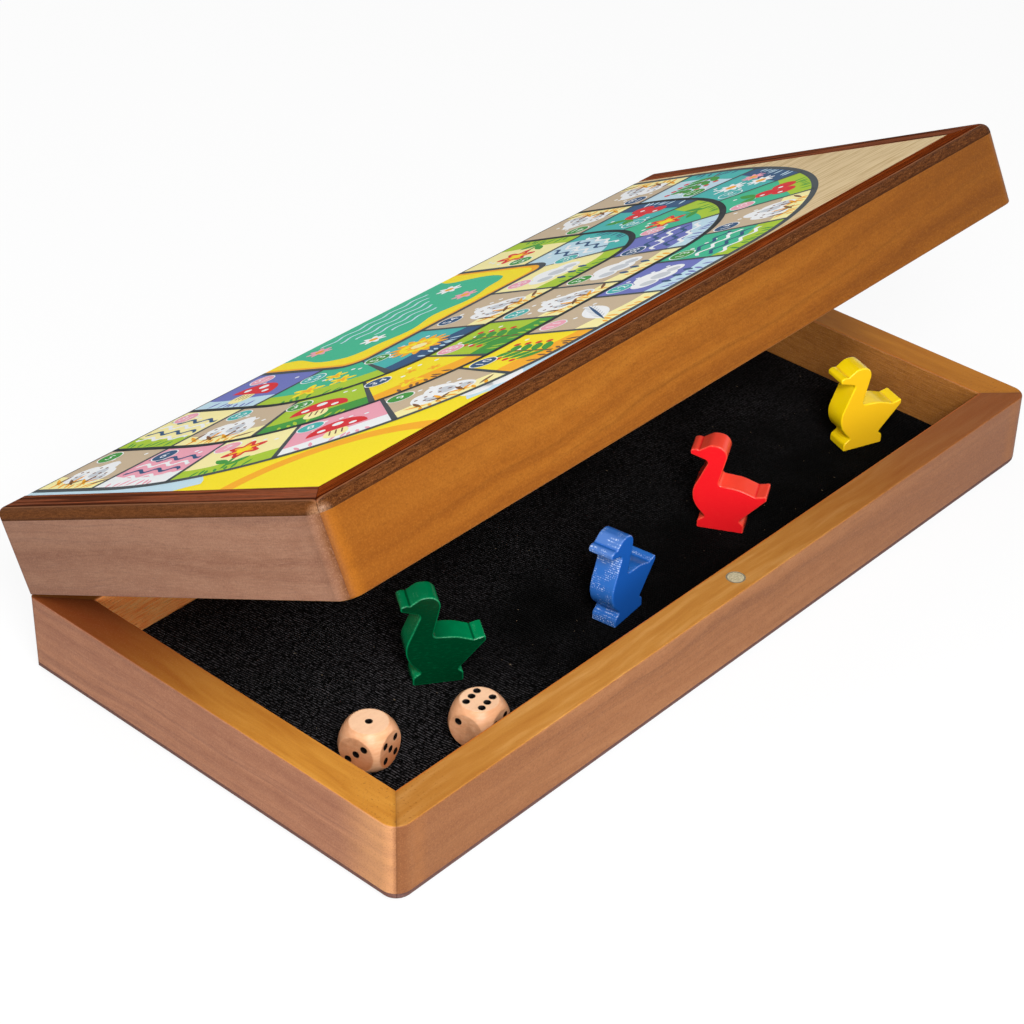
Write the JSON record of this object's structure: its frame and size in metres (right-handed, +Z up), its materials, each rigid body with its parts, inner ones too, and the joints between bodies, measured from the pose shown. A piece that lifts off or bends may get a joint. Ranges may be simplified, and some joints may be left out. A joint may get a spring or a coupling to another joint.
{
  "type": "game of the goose board",
  "caption": "Hinged wooden case that unfolds into a square game of the goose board; its cloth-lined tray holds goose figures and dice, and magnets keep it shut.",
  "frame": {"origin": "centre of the underside of the base half, on the face it rests on", "axes": "+X along the hinge to the right, +Y from the front towards the hinge, +Z up"},
  "size_m": [0.302, 0.162, 0.1168],
  "materials": {
    "case_wood": "satin lacquered veneer",
    "frame_wood": "gloss lacquered rosewood",
    "printed_panel": "printed hardboard, satin varnish",
    "backing_board": "bare plywood",
    "felt": "black ribbed cloth",
    "magnet": "nickel plated",
    "hinge_brass": "satin",
    "screw_brass": "satin",
    "hinge_pin": "satin",
    "goose_green_paint": "painted, satin",
    "goose_blue_paint": "painted, satin",
    "goose_red_paint": "painted, satin",
    "goose_yellow_paint": "painted, satin",
    "die_wood": "satin lacquer"
  },
  "bodies": {
    "base": {"base_front_wall": "case_wood", "base_hinge_wall": "case_wood", "base_left_wall": "case_wood", "base_right_wall": "case_wood", "base_frame_front": "frame_wood", "base_frame_left": "frame_wood", "base_frame_right": "frame_wood", "base_print_panel": "printed_panel", "base_backing_board": "backing_board", "base_felt": "felt", "base_magnet": "magnet", "base_leaf_left": "hinge_brass", "base_leaf_right": "hinge_brass", "base_screws": "screw_brass", "hinge_pins": "hinge_pin"},
    "lid": {"lid_front_wall": "case_wood", "lid_hinge_wall": "case_wood", "lid_left_wall": "case_wood", "lid_right_wall": "case_wood", "lid_frame_front": "frame_wood", "lid_frame_left": "frame_wood", "lid_frame_right": "frame_wood", "lid_print_panel": "printed_panel", "lid_backing_board": "backing_board", "lid_felt": "felt", "lid_magnet": "magnet", "lid_leaf_left": "hinge_brass", "lid_leaf_right": "hinge_brass", "lid_screws": "screw_brass"},
    "goose_green": {"goose_green": "goose_green_paint"},
    "goose_blue": {"goose_blue": "goose_blue_paint"},
    "goose_red": {"goose_red": "goose_red_paint"},
    "goose_yellow": {"goose_yellow": "goose_yellow_paint"},
    "die_left": {"die_left": "die_wood"},
    "die_right": {"die_right": "die_wood"}
  },
  "joints": [
    {"name": "lid_hinge", "type": "hinge", "parent": "base", "child": "lid", "pos_m": [0, 0.07515, 0.0271], "axis": [-1, 0, 0], "range_deg": [-26.25, 153.75]},
    {"name": "goose_green_lift", "type": "slide", "parent": "base", "child": "goose_green", "axis": [0, 0, 1], "range_m": [0, 0.04]},
    {"name": "goose_blue_lift", "type": "slide", "parent": "base", "child": "goose_blue", "axis": [0, 0, 1], "range_m": [0, 0.04]},
    {"name": "goose_red_lift", "type": "slide", "parent": "base", "child": "goose_red", "axis": [0, 0, 1], "range_m": [0, 0.04]},
    {"name": "goose_yellow_lift", "type": "slide", "parent": "base", "child": "goose_yellow", "axis": [0, 0, 1], "range_m": [0, 0.04]},
    {"name": "die_left_lift", "type": "slide", "parent": "base", "child": "die_left", "axis": [0, 0, 1], "range_m": [0, 0.04]},
    {"name": "die_right_lift", "type": "slide", "parent": "base", "child": "die_right", "axis": [0, 0, 1], "range_m": [0, 0.04]}
  ]
}
